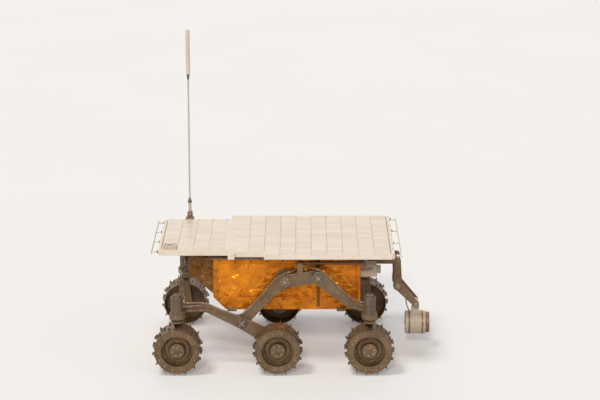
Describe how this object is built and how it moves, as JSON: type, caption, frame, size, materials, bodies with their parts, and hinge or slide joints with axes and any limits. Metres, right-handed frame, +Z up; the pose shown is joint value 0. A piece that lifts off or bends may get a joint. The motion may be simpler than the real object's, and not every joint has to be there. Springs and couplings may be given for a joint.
{
  "type": "six-wheeled planetary rover",
  "caption": "Small six-wheeled planetary rover with a flat solar deck over an insulated box, rocker and bogie suspension, steered corner wheels, a whip antenna and a rear contact sensor.",
  "frame": {"origin": "on the ground, under the middle of the overall box", "axes": "+X forward, +Y to the rover's left, +Z up"},
  "size_m": [0.734, 0.48, 0.835],
  "materials": {
    "cells": "glossy cover glass over dark blue-grey cells",
    "panel_white": "satin pale panel faces and edges",
    "gold_skin": "semi-gloss orange-gold film over insulation",
    "hood_skin": "bronze-brown film over the camera hood",
    "bare_metal": "dusty satin aluminium",
    "wheel_steel": "dusty brushed stainless sheet",
    "motor_metal": "grey anodised motor cans",
    "black_metal": "matt black instrument housings",
    "antenna_white": "matt white sleeve",
    "white_metal": "satin white instrument housing"
  },
  "bodies": {
    "root": {"solar_panel": "panel_white", "cell_rows": "cells", "front_bumper": "panel_white", "rear_bumper": "panel_white", "warm_box": "gold_skin", "box_lid": "bare_metal", "panel_posts": "bare_metal", "tie_down_lugs": "bare_metal", "differential_bar": "bare_metal", "antenna_base": "bare_metal", "camera_hood": "hood_skin", "front_cameras": "black_metal", "camera_rear": "white_metal", "laser_bar": "black_metal", "dust_experiment": "white_metal", "sensor_mount": "bare_metal", "rocker_hubs": "bare_metal", "fold_pins": "motor_metal", "bogie_pins": "motor_metal", "middle_motors": "motor_metal", "steering_motors": "motor_metal", "rocker_front_left": "bare_metal", "rocker_rear_left": "bare_metal", "bogie_left": "bare_metal", "rocker_front_right": "bare_metal", "rocker_rear_right": "bare_metal", "bogie_right": "bare_metal"},
    "antenna": {"antenna_mast": "bare_metal", "antenna_tip": "antenna_white"},
    "sensor": {"sensor_arm": "bare_metal", "sensor_head": "white_metal", "sensor_ring": "bare_metal"},
    "wheel_front_left": {"tread_front_left": "wheel_steel", "disc_front_left": "bare_metal"},
    "steer_front_left": {"steer_bracket_front_left": "bare_metal"},
    "wheel_middle_left": {"tread_middle_left": "wheel_steel", "disc_middle_left": "bare_metal"},
    "wheel_rear_left": {"tread_rear_left": "wheel_steel", "disc_rear_left": "bare_metal"},
    "steer_rear_left": {"steer_bracket_rear_left": "bare_metal"},
    "wheel_front_right": {"tread_front_right": "wheel_steel", "disc_front_right": "bare_metal"},
    "steer_front_right": {"steer_bracket_front_right": "bare_metal"},
    "wheel_middle_right": {"tread_middle_right": "wheel_steel", "disc_middle_right": "bare_metal"},
    "wheel_rear_right": {"tread_rear_right": "wheel_steel", "disc_rear_right": "bare_metal"},
    "steer_rear_right": {"steer_bracket_rear_right": "bare_metal"}
  },
  "joints": [
    {"name": "antenna_fold", "type": "hinge", "parent": "root", "child": "antenna", "pos_m": [0.281, -0.166, 0.326], "axis": [0, -1, 0], "range_deg": [0, 90]},
    {"name": "sensor_swing", "type": "hinge", "parent": "root", "child": "sensor", "pos_m": [-0.28, 0, 0.18], "axis": [0, 1, 0], "range_deg": [-15, 75]},
    {"name": "steering_front_left", "type": "hinge", "parent": "root", "child": "steer_front_left", "pos_m": [0.298, 0.205, 0.14566], "axis": [0, 0, 1], "range_deg": [-55, 55]},
    {"name": "roll_front_left", "type": "hinge", "parent": "steer_front_left", "child": "wheel_front_left", "pos_m": [0.298, 0.205, 0.06466], "axis": [0, 1, 0], "continuous": true},
    {"name": "roll_middle_left", "type": "hinge", "parent": "root", "child": "wheel_middle_left", "pos_m": [0.038, 0.205, 0.06466], "axis": [0, 1, 0], "continuous": true},
    {"name": "steering_rear_left", "type": "hinge", "parent": "root", "child": "steer_rear_left", "pos_m": [-0.2, 0.205, 0.14566], "axis": [0, 0, 1], "range_deg": [-55, 55]},
    {"name": "roll_rear_left", "type": "hinge", "parent": "steer_rear_left", "child": "wheel_rear_left", "pos_m": [-0.2, 0.205, 0.06466], "axis": [0, 1, 0], "continuous": true},
    {"name": "steering_front_right", "type": "hinge", "parent": "root", "child": "steer_front_right", "pos_m": [0.298, -0.205, 0.14566], "axis": [0, 0, 1], "range_deg": [-55, 55]},
    {"name": "roll_front_right", "type": "hinge", "parent": "steer_front_right", "child": "wheel_front_right", "pos_m": [0.298, -0.205, 0.06466], "axis": [0, 1, 0], "continuous": true},
    {"name": "roll_middle_right", "type": "hinge", "parent": "root", "child": "wheel_middle_right", "pos_m": [0.038, -0.205, 0.06466], "axis": [0, 1, 0], "continuous": true},
    {"name": "steering_rear_right", "type": "hinge", "parent": "root", "child": "steer_rear_right", "pos_m": [-0.2, -0.205, 0.14566], "axis": [0, 0, 1], "range_deg": [-55, 55]},
    {"name": "roll_rear_right", "type": "hinge", "parent": "steer_rear_right", "child": "wheel_rear_right", "pos_m": [-0.2, -0.205, 0.06466], "axis": [0, 1, 0], "continuous": true}
  ]
}
